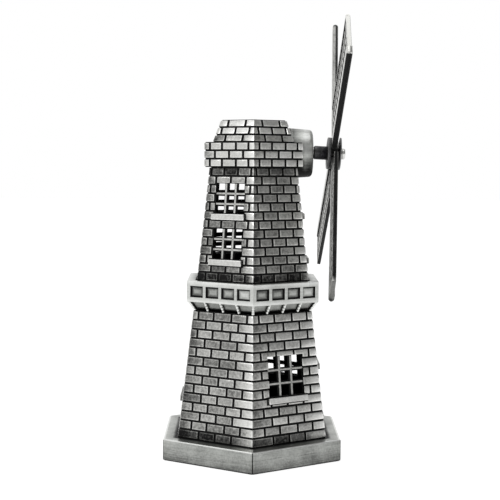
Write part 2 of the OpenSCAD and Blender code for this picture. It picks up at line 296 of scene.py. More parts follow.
def box_rings(w, h, d, edge, patina_and_shading):
    """Rings, from low z to high z, of a chamfered box centred on the origin.

    patina is for the back, the sides, the front and the front's edges.
    """
    behind, beside, plain, wear_and_shading = patina_and_shading

    def outline(dx, dy, z, value):
        x, y = w / 2 - dx, h / 2 - dy
        spots = (
            (-x + edge, -y), (x - edge, -y), (x, -y + edge), (x, y - edge),
            (x - edge, y), (-x + edge, y), (-x, y - edge), (-x, -y + edge),
        )
        return [(sx, sy, z) for sx, sy in spots], value

    return [
        outline(edge, edge, -d / 2, behind),
        outline(0, 0, -d / 2 + edge, beside),
        outline(0, 0, d / 2 - 2 * edge, beside),
        outline(0, 0, d / 2 - edge, wear_and_shading),
        outline(edge, edge, d / 2, wear_and_shading),
        outline(edge * 1.6, edge * 1.6, d / 2, plain),
    ]


def add_box(casting, place, centre, size, edge, patina_and_shading, tone=0.0):
    """A chamfered box. place turns (x, y, z) in some frame into a point."""
    cx, cy, cz = centre
    rings = [
        ([place(cx + x, cy + y, cz + z) for x, y, z in outline], value)
        for outline, value in box_rings(*size, edge, patina_and_shading)
    ]
    casting.loft(rings, tone)


def add_lathe(casting, profile, steps=96, place=rotor_point, closed=False, painted_lower_shade=0.0):
    """Turns profile, a list of (radius, z, patina), about z. Its last argument darkens the lower half with
    painted shade.
    """
    turns = [2 * math.pi * i / steps for i in range(steps)]
    rings = []
    for radius, z, value in profile:
        spots = [place(radius * math.cos(a), radius * math.sin(a), z) for a in turns]
        rings.append((spots, [max(-1.0, value - painted_lower_shade * max(0.0, 0.25 - math.sin(a))) for a in turns]))
    casting.loft(rings, closed=closed)


def edge_round(radius, z, size, first, last, value, steps=5):
    """Profile points round a circle of the given size, from angle first to last, in degrees."""
    spots = []
    for i in range(steps + 1):
        a = math.radians(first + (last - first) * i / steps)
        spots.append((radius + size * math.cos(a), z + size * math.sin(a), value))
    return spots


# ---------------------------------------------------------------- brickwork

LEFT = "left mitre"
RIGHT = "right mitre"


def cut_brick(rect, hole):
    """What is left of a brick (u0, u1, s0, s1) outside a window: lists of counter-clockwise corners."""
    u0, u1, s0, s1 = rect
    whole = [[(u0, s0), (u1, s0), (u1, s1), (u0, s1)]]
    if hole is None or isinstance(u0, str) or isinstance(u1, str):
        return whole
    h0, h1, t0, t1 = hole
    a0, a1, b0, b1 = max(u0, h0), min(u1, h1), max(s0, t0), min(s1, t1)
    if a0 >= a1 or b0 >= b1:
        return whole
    full_u = a0 - u0 < SLIVER and u1 - a1 < SLIVER
    full_s = b0 - s0 < SLIVER and s1 - b1 < SLIVER
    if full_u and full_s:
        return []
    if full_s:
        spans = [(u0, a0), (a1, u1)]
        return [[(p, s0), (q, s0), (q, s1), (p, s1)] for p, q in spans if q - p >= SLIVER]
    if full_u:
        spans = [(s0, b0), (b1, s1)]
        return [[(u0, p), (u1, p), (u1, q), (u0, q)] for p, q in spans if q - p >= SLIVER]
    low = b0 - s0 < SLIVER
    if a0 - u0 < SLIVER:
        if low:
            return [[(a1, s0), (u1, s0), (u1, s1), (u0, s1), (u0, b1), (a1, b1)]]
        return [[(u0, s0), (u1, s0), (u1, s1), (a1, s1), (a1, b0), (u0, b0)]]
    if low:
        return [[(u0, s0), (a0, s0), (a0, b1), (u1, b1), (u1, s1), (u0, s1)]]
    return [[(u0, s0), (u1, s0), (u1, b0), (a0, b0), (a0, s1), (u0, s1)]]


def cut_by_arch(rect, half, spring):
    """What is left of a brick outside an arched opening that stands on the foot of the wall."""
    u0, u1, s0, s1 = rect
    if isinstance(u0, str) or isinstance(u1, str) or u0 >= half or u1 <= -half or s0 >= spring + half:
        return [[(u0, s0), (u1, s0), (u1, s1), (u0, s1)]]

    def reach(s):
        return math.sqrt(max(0.0, half * half - max(0.0, s - spring) ** 2))

    if s1 > spring + half:
        left, right = max(u0, -reach(s0)), min(u1, reach(s0))
        outline = [(u0, s0)] if left > u0 else []
        for k in range(2 * ARCH_STEPS + 1):
            u = left + (right - left) * k / (2 * ARCH_STEPS)
            outline.append((u, spring + math.sqrt(half * half - u * u)))
        if right < u1:
            outline.append((u1, s0))
        return [outline + [(u1, s1), (u0, s1)]]
    pieces = []
    for sign in (-1, 1):
        inner, outer = (u0, u1) if sign > 0 else (-u1, -u0)
        low = s0
        if outer < half:
            low = max(s0, spring + math.sqrt(half * half - max(0.0, outer) ** 2))
        if outer - max(inner, reach(s1)) < SLIVER or s1 - low < SLIVER:
            continue
        edge = []
        for k in range(ARCH_STEPS, -1, -1):
            s = low + (s1 - low) * k / ARCH_STEPS
            edge.append((min(max(inner, reach(s)), outer - 0.05), s))
        outline = [(outer, low), (outer, s1)] + edge
        pieces.append(outline if sign > 0 else [(-u, s) for u, s in reversed(outline)])
    return pieces


def add_spandrels(casting, side, half, spring):
    """The wall behind the bricks between a doorway's arch and the square opening round it."""
    for sign in (-1, 1):
        turns = [math.pi / 2 * i / 12 for i in range(13)]
        outline = [(sign * half, spring + half)]
        outline += [(sign * half * math.sin(a), spring + half * math.cos(a)) for a in turns]
        casting.loft([([side.point(u, s, n) for u, s in outline], -1.0) for n in (-WALL, -JOINT_DEPTH)])


def add_brick(casting, side, corners, lightening):
    """A pillowed brick with worn edges. A corner whose u is LEFT or RIGHT lies on that mitre."""
    count = len(corners)
    following = corners[1:] + corners[:1]
    mitred = [isinstance(a[0], str) and a[0] == b[0] for a, b in zip(corners, following)]
    sign = {LEFT: -1, RIGHT: 1}

    def flat(n):
        return [(sign[u] * side.half(s, n) if isinstance(u, str) else u, s) for u, s in corners]

    base = flat(0)
    width = max(p[0] for p in base) - min(p[0] for p in base)
    height = max(p[1] for p in base) - min(p[1] for p in base)
    middle = Vector((sum(p[0] for p in base), sum(p[1] for p in base))) / count
    small = min(1.0, width / 2.4, height / 2.4)
    tilt = Vector((rng.uniform(-1, 1), rng.uniform(-1, 1))) * 0.02
    lift = rng.uniform(-0.05, 0.06)
    tone = rng.uniform(-1, 1)

    # Each ring: how far in from the joints, depth, setback from a mitre, depth there, patina.
    rings = (
        (0.00, -JOINT_DEPTH - 0.05, 0.00, -JOINT_DEPTH - 0.05, -1.0),
        (0.06, -0.12, 0.00, -0.20, -0.95),
        (0.15, -0.02, 0.00, -0.02, 0.35),
        (0.28, 0.03, 0.20, 0.03, 0.25),
        (0.52, 0.05, 0.60, 0.05, 0.0),
    )
    lofted = []
    for number, (step, n, setback, n_mitre, patina_and_shading) in enumerate(rings):
        free = number >= 3
        amounts = [setback * small if mitred[i] else step * small for i in range(count)]
        spots = inset(flat(n_mitre), amounts)
        points = []
        values = []
        for i, spot in enumerate(spots):
            at_mitre = mitred[i] or mitred[i - 1]
            depth = n_mitre if at_mitre else n
            if free:
                depth += (lift + tilt.dot(spot - middle)) * (0.3 if at_mitre and number == 3 else 1.0)
            points.append(side.point(spot.x, spot.y, depth))
            value = patina_and_shading
            # The bricks take the lightening passed in, a painted highlight towards the right mitre and a
            # darker strip along the left mitre.
            if number > 1:
                value += lightening + CORNER_PAINTED_HIGHLIGHT * max(0.0, spot.x / side.half(spot.y)) ** 7
                if at_mitre and spot.x < 0:
                    value -= 0.25
            values.append(max(-1.0, min(1.0, value)))
        lofted.append((points, values))
    casting.loft(lofted, tone)


def add_bricks(casting, side, joints, courses, holes=(), lightening=0.0, dark_courses=(), arch=None):
    """All bricks of one side, all made lighter by the given amount, which on some walls holds painted shade
    too; dark_courses is {course: how much darker}.

    arch is (half width, height of the spring line) of a doorway.
    """
    pitch = side.length / courses
    darker = dict(dark_courses)
    for course in range(courses):
        s0 = course * pitch + BED_H / 2
        s1 = (course + 1) * pitch - BED_H / 2
        marks = [m + rng.uniform(-0.05, 0.05) for m in joints[course % 2]]
        starts = [LEFT] + [m + JOINT_W / 2 for m in marks]
        ends = [m - JOINT_W / 2 for m in marks] + [RIGHT]
        for u0, u1 in zip(starts, ends):
            rect = (u0, u1, s0, s1)
            hit = next((h for h in holes if s0 < h[3] and s1 > h[2]), None)
            for corners in cut_by_arch(rect, *arch) if arch else cut_brick(rect, hit):
                add_brick(casting, side, corners, lightening - darker.get(course, 0.0) * rng.uniform(0.7, 1.2))


def add_slab(casting, side, thickness, holes=()):
    """The wall behind the bricks, from mitre to mitre, with its window openings."""
    u_marks = sorted({v for h in holes for v in h[:2]})
    s_marks = [0.0] + sorted({v for h in holes for v in h[2:]}) + [side.length]
    columns = [LEFT] + u_marks + [RIGHT]
    front = -JOINT_DEPTH
    back = -thickness
    index = {}

    def corner(i, j, n):
        key = (i, j, n)
        if key not in index:
            u = columns[i]
            s = s_marks[j]
            if isinstance(u, str):
                u = side.half(s, n) * (-1 if u == LEFT else 1)
            index[key] = casting.ring([side.point(u, s, n)], -1.0)[0]
        return index[key]

    def is_open(i, j):
        if not (0 < i < len(columns) - 2 and 0 <= j < len(s_marks) - 1):
            return False
        u = (columns[i] + columns[i + 1]) / 2
        s = (s_marks[j] + s_marks[j + 1]) / 2
        return any(h[0] < u < h[1] and h[2] < s < h[3] for h in holes)

    wide = len(columns) - 1
    high = len(s_marks) - 1
    for i in range(wide):
        for j in range(high):
            if is_open(i, j):
                continue
            quad = ((i, j), (i + 1, j), (i + 1, j + 1), (i, j + 1))
            casting.faces.append(tuple(corner(a, b, front) for a, b in quad))
            casting.faces.append(tuple(corner(a, b, back) for a, b in reversed(quad)))
            neighbours = ((i, j - 1), (i + 1, j), (i, j + 1), (i - 1, j))
            for k, (a, b) in enumerate(neighbours):
                inside = 0 <= a < wide and 0 <= b < high
                if inside and not is_open(a, b):
                    continue
                p, q = quad[k], quad[(k + 1) % 4]
                jamb = ((p, front), (p, back), (q, back), (q, front))
                casting.faces.append(tuple(corner(*spot, n) for spot, n in jamb))


def add_ledge(casting, side, width, top):
    """A ledge with softened, worn edges, standing out of a black frame below height top: a dark joint widened
    into painted shadow.
    """
    depth = WALL / 2 + LEDGE_OUT
    middle = top - LEDGE_H / 2
    seam = (width + 2 * LEDGE_SHADOW_MARGIN, LEDGE_H + 2 * LEDGE_SHADOW_MARGIN, WALL / 2)
    black = (-1.0, -1.0, -1.0, -1.0)
    # Black frame round the ledge: dark joint and painted shadow.
    add_box(casting, side.point, (0, middle, LEDGE_SHADOW_OUT - WALL / 4), seam, 0.05, black)
    add_box(casting, side.point, (0, middle, LEDGE_OUT - depth / 2), (width, LEDGE_H, depth),
            LEDGE_EDGE, (-1.0, -0.3, 0.2, 0.75))


# ---------------------------------------------------------------- materials

def node_of(tree, kind, **settings):
    made = tree.nodes.new(kind)
    for name, value in settings.items():
        setattr(made, name, value)
    return made


def scaled_noise(tree, scale, detail=4.0, stretch=(1, 1, 1), roughness=0.55):
    """Noise in the piece's own coordinates; scale is in features per metre."""
    place = node_of(tree, "ShaderNodeTexCoord")
    mapping = node_of(tree, "ShaderNodeMapping")
    mapping.inputs["Scale"].default_value = [scale * v for v in stretch]
    noise = node_of(tree, "ShaderNodeTexNoise")
    noise.inputs["Scale"].default_value = 1.0
    noise.inputs["Detail"].default_value = detail
    noise.inputs["Roughness"].default_value = roughness
    tree.links.new(place.outputs["Object"], mapping.inputs["Vector"])
    tree.links.new(mapping.outputs["Vector"], noise.inputs["Vector"])
    return noise.outputs["Fac"]


def math_node(tree, operation, a, b=None, c=None, clamp=False):
    made = node_of(tree, "ShaderNodeMath", operation=operation, use_clamp=clamp)
    for socket, value in zip(made.inputs, (a, b, c)):
        if value is None:
            continue
        if isinstance(value, (int, float)):
            socket.default_value = value
        else:
            tree.links.new(value, socket)
    return made.outputs[0]


def painted(tree, name):
    return node_of(tree, "ShaderNodeAttribute", attribute_name=name).outputs["Fac"]


def ramp(tree, factor, stops):
    made = node_of(tree, "ShaderNodeValToRGB")
    elements = made.color_ramp.elements
    while len(elements) < len(stops):
        elements.new(0.5)
    for element, (spot, value) in zip(elements, stops):
        element.position = spot
        element.color = (*value, 1) if isinstance(value, tuple) else (value, value, value, 1)
    tree.links.new(factor, made.inputs["Fac"])
    return made.outputs["Color"]


def plated(name, light, mid, dark, speckle, cloud, tone=0.0, streak=0.0, shade=0.0,
           roughness=(0.6, 0.38, 0.3), bump=0.25, grain=1300.0):
    """Antique plate: dark in recesses, plain on the faces, bright where rubbed and where highlights are
    painted.

    light, mid and dark are colours. speckle, cloud, tone and streak say how much fine grain, soft
    blotches, brick to brick change and brushing move the patina, and shade how much painted shade
    darkens the surfaces that face down.
    """
    made = bpy.data.materials.new(name)
    made.use_nodes = True
    tree = made.node_tree
    shader = tree.nodes["Principled BSDF"]
    fine = scaled_noise(tree, grain, 5.0, roughness=0.7)
    soft = scaled_noise(tree, 140.0, 3.0)
    value = math_node(tree, "MULTIPLY_ADD", fine, 2 * speckle, -speckle)
    value = math_node(tree, "ADD", value, math_node(tree, "MULTIPLY_ADD", soft, 2 * cloud, -cloud))
    value = math_node(tree, "ADD", value, painted(tree, "patina_and_shading"))
    value = math_node(tree, "ADD", value, math_node(tree, "MULTIPLY", painted(tree, "tone"), tone))
    if streak:
        brushed = scaled_noise(tree, 1.0, 4.0, (70.0, 70.0, 3200.0), 0.65)
        brushing = math_node(tree, "MULTIPLY_ADD", brushed, 2 * streak, -streak)
        value = math_node(tree, "ADD", value, brushing)
    # Painted shade on the surfaces that face down.
    if shade:
        facing = node_of(tree, "ShaderNodeSeparateXYZ")
        tree.links.new(node_of(tree, "ShaderNodeTexCoord").outputs["Normal"], facing.inputs[0])
        under = math_node(tree, "MULTIPLY", facing.outputs["Z"], -shade, clamp=True)
        value = math_node(tree, "SUBTRACT", value, under)
    factor = math_node(tree, "MULTIPLY_ADD", value, 0.5, 0.5, clamp=True)
    dim = tuple(0.35 * m for m in mid)
    colour = ramp(tree, factor, ((0.14, dark), (0.32, dim), (0.50, mid), (0.80, light)))
    shader.inputs["Specular IOR Level"].default_value = 0.25
    rough = ramp(tree, factor, ((0.1, roughness[0]), (0.5, roughness[1]), (0.9, roughness[2])))
    metal = ramp(tree, factor, ((0.05, 0.35), (0.35, 1.0)))
    tree.links.new(colour, shader.inputs["Base Color"])
    tree.links.new(rough, shader.inputs["Roughness"])
    tree.links.new(metal, shader.inputs["Metallic"])
    bumps = node_of(tree, "ShaderNodeBump")
    bumps.inputs["Strength"].default_value = bump
    bumps.inputs["Distance"].default_value = 0.05 * MM
    tree.links.new(fine, bumps.inputs["Height"])
    tree.links.new(bumps.outputs["Normal"], shader.inputs["Normal"])
    return made


def make_materials():
    black = (0.006, 0.006, 0.006)
    return {
        "brick": plated("brick_pewter", (0.86, 0.86, 0.84), (0.52, 0.52, 0.50), black,
                        speckle=0.52, cloud=0.2, tone=0.12, shade=0.4, bump=0.4, grain=1000.0),
        "brushed": plated("brushed_pewter", (0.80, 0.81, 0.79), (0.42, 0.43, 0.41), black,
                          speckle=0.22, cloud=0.22, tone=0.05, streak=0.24, shade=0.6, bump=0.12),
        "sail": plated("sail_pewter", (0.74, 0.74, 0.71), (0.36, 0.36, 0.35), black,
                       speckle=0.25, cloud=0.22, tone=0.3, shade=0.55, bump=0.2),
        "dark": plated("blackened_plate", (0.17, 0.17, 0.17), (0.014, 0.014, 0.016), black,
                       speckle=0.30, cloud=0.45, tone=0.1, shade=0.3,
                       roughness=(0.5, 0.42, 0.3), bump=0.3),
        "door": plated("door_pewter", (0.50, 0.50, 0.49), (0.15, 0.15, 0.15), black,
                       speckle=0.25, cloud=0.25, tone=0.3, shade=0.4),
        "steel": plated("satin_steel", (0.80, 0.80, 0.78), (0.40, 0.40, 0.39), black,
                        speckle=0.1, cloud=0.2, shade=0.3, roughness=(0.45, 0.3, 0.24), bump=0.05),
    }


def felt_material():
    made = bpy.data.materials.new("felt")
    made.use_nodes = True
    tree = made.node_tree
    shader = tree.nodes["Principled BSDF"]
    fuzz = scaled_noise(tree, 2600.0, 6.0)
    tree.links.new(ramp(tree, fuzz, ((0.3, 0.008), (0.7, 0.05))), shader.inputs["Base Color"])
    shader.inputs["Roughness"].default_value = 0.95
    shader.inputs["Sheen Weight"].default_value = 0.4
    bumps = node_of(tree, "ShaderNodeBump")
    bumps.inputs["Distance"].default_value = 0.1 * MM
    tree.links.new(fuzz, bumps.inputs["Height"])
    tree.links.new(bumps.outputs["Normal"], shader.inputs["Normal"])
    return made


# ---------------------------------------------------------------- tower

def make_walls(prefix, joints, courses, windows, lightening, dark_courses):
    """The six wall castings of a storey. windows is {side: [window nodes]}."""
    for name, bearing in SIDES.items():
        node = prefix + name
        side = storey(node, bearing)
        holes = [side.extent(w) for w in windows.get(name, ())]
        wall = Casting("wall." + node)
        arch = door = None
        if node == "lower_wall_front":
            door = side.extent("front_door")
            half = (door[1] - door[0]) / 2
            arch = (half, door[3] - half)
            add_spandrels(wall, side, *arch)
        add_slab(wall, side, WALL, [door] if door else holes)
        # The storey's lightening, plus painted shade on some sides.
        side_lightening = lightening + SIDE_PAINTED_SHADE.get(node, 0.0)
        add_bricks(wall, side, joints, courses, holes, side_lightening, dark_courses, arch)
        for hole in holes:
            add_ledge(wall, side, hole[1] - hole[0] + 2 * LEDGE_OVER, hole[2])
        if door:
            top = max(side.local(p)[1] for p in points_of(node) if side.local(p)[2] > LEDGE_OUT - 0.05)
            add_ledge(wall, side, door[1] - door[0] + 4 * LEDGE_OVER, top)
        wall.build(MATERIALS["brick"], "tower", "brick_casting", node)


def make_grille(node, side):
    """Two upright and two level bars, rounded by many platings."""
    u0, u1, s0, s1 = side.extent(node)
    width, height = u1 - u0, s1 - s0
    centre_u, centre_s = (u0 + u1) / 2, (s0 + s1) / 2
    grille = Casting("grille." + node)

    def bar(u, s, half_u, half_s):
        """A bar whose sides spread towards the rear."""
        front, rear = -GRILLE_RECESS, -GRILLE_RECESS - GRILLE_T
        rings = []
        for grow, n, value in (
            (GRILLE_FLARE, rear, -1.0), (GRILLE_FLARE, rear + 0.3, -1.0), (0.0, front - 0.3, -0.95),
            (0.0, front - 0.12, -0.35), (-0.14, front, 0.0),
        ):
            a, b = half_u + grow, half_s + grow
            spots = ((-a, -b), (a, -b), (a, b), (-a, b))
            rings.append(([side.point(u + x, s + y, n) for x, y in spots], value))
        grille.loft(rings)

    for i in (-1, 1):
        bar(centre_u + i * width / 6, centre_s, GRILLE_BAR / 2, height / 2)
        bar(centre_u, centre_s + i * height / 6, width / 2, GRILLE_BAR / 2 - 0.02)
    grille.build(MATERIALS["brick"], "tower", "dark_casting", node)


def make_tower():
    lower = {n: ["lower_window_" + n] for n in LOWER_WINDOW_SIDES}
    upper = {n: [f"upper_window_{n}_{row}" for row in WINDOW_ROWS] for n in UPPER_WINDOW_SIDES}
    make_walls("lower_wall_", LOWER_JOINTS, LOWER_COURSES, lower, -0.06, {0: 0.35, 1: 0.12})
    make_walls("upper_wall_", UPPER_JOINTS, UPPER_COURSES, upper, -0.16, {0: 0.45, 1: 0.15, 12: 0.35})
    for prefix, windows in (("lower_wall_", lower), ("upper_wall_", upper)):
        for name, nodes in windows.items():
            side = storey(prefix + name, SIDES[name])
            for node in nodes:
                make_grille(node, side)


def make_door():
    """An arched plank leaf with a raised frame, two strap hinges and a ring."""
    side = storey("lower_wall_front", SIDES["front"])
    u0, u1, s0, s1 = side.extent("front_door")
    half = (u1 - u0) / 2
    spring = s1 - half
    leaf = Casting("door.front_door")

    def arch(shrink, n, patina_and_shading):
        outline = [(-half + shrink, s0 + shrink), (half - shrink, s0 + shrink)]
        for i in range(25):
            a = math.pi * i / 24
            outline.append(((half - shrink) * math.cos(a), spring + (half - shrink) * math.sin(a)))
        return [side.point(u, s, n) for u, s in outline], patina_and_shading

    back, face = -WALL / 2, -0.3
    leaf.loft([
        arch(0, back, -1.0), arch(0, face - 0.1, -0.6), arch(0.12, face, 0.6), arch(1.0, face, 0.3),
        arch(1.12, face - 0.2, -0.9), arch(1.4, face - 0.2, -0.3),
    ])
    planks = 5
    room = half - 1.3
    for i in range(planks):
        u = -room + (i + 0.5) * 2 * room / planks
        reach = max(abs(u) + room / planks, 0.1)
        top = spring + math.sqrt(max(0.0, room * room - min(reach, room) ** 2))
        low = s0 + 1.3
        size = (2 * room / planks - 0.12, top - low, 0.3)
        add_box(leaf, side.point, (u, (top + low) / 2, face - 0.12), size, 0.08,
                (-1.0, -0.6, 0.0, 0.7), rng.uniform(-1, 1))
    for s in (s0 + 4.0, spring - 1.5):
        add_box(leaf, side.point, (-0.8, s, face + 0.05), (2 * half - 2.4, 0.9, 0.3), 0.1,
                (-1.0, -0.4, 0.3, 0.9))
    centre_s = (s0 + spring) / 2 + 1.0
    turns = [2 * math.pi * i / 20 for i in range(20)]
    loops = []
    for k in range(8):
        b = 2 * math.pi * k / 8
        radius = RING_R * (1 + 0.22 * math.cos(b))
        n = face + 0.25 + 0.18 * math.sin(b)
        loops.append(([side.point(RING_U + radius * math.cos(a), centre_s + radius * math.sin(a), n)
                       for a in turns], 0.8))
    leaf.loft(loops, closed=True)
    leaf.build(MATERIALS["door"], "tower", "dark_casting", "front_door")


# ---------------------------------------------------------------- gallery

def add_rail(casting, side, depth):
    """A rail from mitre to mitre with four sunk panels. s runs up it; the face is at n 0."""
    low = (side.length - PANEL_H) / 2
    rows = [0.0, 0.16, low, low + PANEL_H, side.length - 0.16, side.length]
    middles = [PANEL_PITCH * (i - 1.5) for i in range(4)]
    columns = [LEFT] + [m + d for m in middles for d in (-PANEL_W / 2, PANEL_W / 2)] + [RIGHT]
    index = {}

    def corner(i, j):
        if (i, j) not in index:
            u, s = columns[i], rows[j]
            n = -0.16 if j in (0, 5) else 0.0
            if isinstance(u, str):
                u = side.half(s, n) * (-1 if u == LEFT else 1)
            value = 0.5 if j in (0, 1, 4, 5) else 0.2
            index[(i, j)] = casting.ring([side.point(u, s, n)], value)[0]
        return index[(i, j)]

    for i in range(len(columns) - 1):
        for j in range(len(rows) - 1):
            quad = [corner(i, j), corner(i + 1, j), corner(i + 1, j + 1), corner(i, j + 1)]
            if j != 2 or i % 2 == 0:
                casting.faces.append(tuple(quad))
                continue
            u0, u1, s0, s1 = columns[i], columns[i + 1], rows[2], rows[3]
            last = quad
            for step, n, value in (
                (0.06, -0.06, 0.5), (0.12, -0.3, -0.8), (0.18, -PANEL_DEPTH + 0.12, -1.0),
                (0.34, -PANEL_DEPTH, -1.0), (0.8, -PANEL_DEPTH + 0.03, -0.45 + PANEL_LIGHTER[i // 2]),
                (1.8, -PANEL_DEPTH + 0.08, -0.1 + PANEL_LIGHTER[i // 2]),
            ):
                spots = inset([(u0, s0), (u1, s0), (u1, s1), (u0, s1)], [step] * 4)
                ring = casting.ring([side.point(p.x, p.y, n) for p in spots], value)
                casting.bridge(last, ring)
                last = ring
            casting.faces.append(tuple(last))

    # The top, the back and the underside close the rail, and share the face's outermost corners.
    ends = {}
    for k, i in ((-1, 0), (1, len(columns) - 1)):
        for s in (0.0, side.length):
            ends[(k, s)] = casting.ring([side.point(k * side.half(s, -depth), s, -depth)], -0.2)[0]
    top = [corner(i, 5) for i in range(len(columns))]
    bottom = [corner(i, 0) for i in range(len(columns))]
    casting.faces.append(tuple(top) + (ends[(1, side.length)], ends[(-1, side.length)]))
    casting.faces.append(tuple(reversed(bottom)) + (ends[(-1, 0.0)], ends[(1, 0.0)]))
    rear = ((-1, 0.0), (-1, side.length), (1, side.length), (1, 0.0))
    casting.faces.append(tuple(ends[key] for key in rear))
    left = [corner(0, j) for j in range(len(rows))]
    right = [corner(len(columns) - 1, j) for j in range(len(rows))]
    casting.faces.append(tuple(left) + (ends[(-1, side.length)], ends[(-1, 0.0)]))
    casting.faces.append(tuple(reversed(right)) + (ends[(1, 0.0)], ends[(1, side.length)]))


def make_gallery():
    for name, bearing in SIDES.items():
        node = "gallery_" + name
        low, high = levels_of(node)
        outer = corner_radius(node, high)
        rail_z = min(z for z in {round(p.z, 3) for p in points_of(node)}
                     if z > low + 0.5 and corner_radius(node, z) > outer - 0.02)
        neck = corner_radius("lower_wall_" + name, low)
        inner = min(math.hypot(p.x, p.y) for p in points_of(node)) / COS30
        casting = Casting("gallery." + name)
        add_rail(casting, Slope(bearing, outer, outer, rail_z, high), (outer - inner) * COS30)

        soffit = Slope(bearing, neck, outer, low, rail_z)
        back = RIB_PROUD
        rings = []
        for n, inwards, value in ((-back - 1.5, 0.0, -1.0), (-back, 0.0, -0.9), (-back, 0.8, 0.2)):
            s0, s1 = inwards, soffit.length - inwards
            spots = [soffit.point(sign * soffit.half(s, n), s, n)
                     for sign, s in ((-1, s0), (1, s0), (1, s1), (-1, s1))]
            rings.append((spots, value))
        casting.loft(rings)
        for m in (-PANEL_PITCH, 0.0, PANEL_PITCH):
            add_rib(casting, soffit, m, m)
        foot, head = (soffit.half(s) - RIB_W / 3 for s in (0, soffit.length))
        for k in (-1, 1):
            add_rib(casting, soffit, k * foot, k * head)
        casting.build(MATERIALS["brushed"], "tower", "brushed_casting", node)


def add_rib(casting, side, u_low, u_high):
    """A rounded rib up a soffit, a little knotted like a cord."""
    steps = 14
    around = 10
    rings = []
    for i in range(steps + 1):
        t = i / steps
        u = u_low + (u_high - u_low) * t
        s = -0.15 + (side.length + 0.15) * t
        swell = 1 + 0.10 * math.sin(t * math.pi * 7)
        spots = []
        values = []
        for k in range(around):
            a = 2 * math.pi * k / around
            spots.append(side.point(
                u + RIB_W / 2 * swell * math.cos(a), s,
                -RIB_PROUD / 2 - 0.15 + (RIB_PROUD / 2 + 0.1) * swell * math.sin(a)))
            values.append(0.95 if math.sin(a) > 0.2 else (-0.2 if math.sin(a) > -0.5 else -1.0))
        rings.append((spots, values))
    casting.loft(rings)


# ---------------------------------------------------------------- base

def make_base():
    node = "base_plate"
    low, high = levels_of(node)
    radius = corner_radius(node, high)
    groove = 0.35
    seam = 0.28
    base = Casting("base.plate")

    def ring(r, z, patina_and_shading, seam_patina):
        spots = []
        values = []
        for k in range(6):
            a = math.radians(60 * k)
            corner = Vector((math.cos(a), math.sin(a), 0))
            side = Vector((-math.sin(a), math.cos(a), 0))
            for off in (-1, 0, 1):
                if off:
                    spot = corner * (r - seam * 0.5) + side * (off * seam * COS30)
                else:
                    spot = corner * (r - groove)
                spots.append(Vector((spot.x, spot.y, z)))
                values.append(patina_and_shading if off else seam_patina)
        return spots, values

    foot = corner_radius("lower_wall_back_left", high)
    base.loft([
        ring(radius - 3.0, low + 0.02, -1.0, -1.0),
        ring(radius - 0.6, low, -1.0, -1.0),
        ring(radius - 0.12, low + 0.3, -0.7, -1.0),
        ring(radius, low + 0.7, -0.25, -0.95),
        ring(radius, high - 0.45, -0.08, -0.9),
        ring(radius - 0.08, high - 0.18, 0.95, -0.3),
        ring(radius - 0.35, high, 0.9, 0.6),
        ring(radius - 1.2, high, 0.05, 0.05),
        # Painted shadow on the base round the foot of the tower.
        ring(foot + 2.2, high, -0.1, -0.1),
        ring(foot + 1.0, high, -0.75, -0.75),
        ring(foot - 3.0, high - 0.02, -1.0, -1.0),
    ])
    base.build(MATERIALS["brushed"], "tower", "brushed_casting", node)


# ---------------------------------------------------------------- cap

def make_cap():
    for name, bearing in SIDES.items():
        node = "cap_side_" + name
        side = storey(node, bearing)
        casting = Casting("cap." + name)
        add_slab(casting, side, 4.0)
        add_bricks(casting, side, BAND_JOINTS, CAP_COURSES, lightening=0.09)
        casting.build(MATERIALS["brick"], "tower", "brick_casting", node)

    low, high = levels_of("cap_roof")
    roof = Casting("cap.roof")
    r0, r1 = corner_radius("cap_roof", low), corner_radius("cap_roof", high)
    core = JOINT_DEPTH / COS30

    def hexagon(r, z):
        spots = []
        for k in range(6):
            a = math.radians(60 * k)
            spots.append(Vector((r * math.cos(a), r * math.sin(a), z)))
        return spots

    band = corner_radius("cap_side_back_left", levels_of("cap_side_back_left")[1])
    roof.loft([(hexagon(r0 - core, low - 0.3), -1.0), (hexagon(r1 - core, high - 0.12), -1.0),
               (hexagon(r1 - core - 0.5, high - 0.05), 0.1)])
    for bearing in SIDES.values():
        add_bricks(roof, Slope(bearing, r0, r1, low, high), ROOF_JOINTS, CAP_COURSES,
                   lightening=0.25, dark_courses={0: 0.35})
    roof.loft([(hexagon(band - 0.5, low - 0.4), -0.6), (hexagon(band - 0.6, low - 0.02), 0.2)])
    roof.build(MATERIALS["brick"], "tower", "brick_casting", "cap_roof")


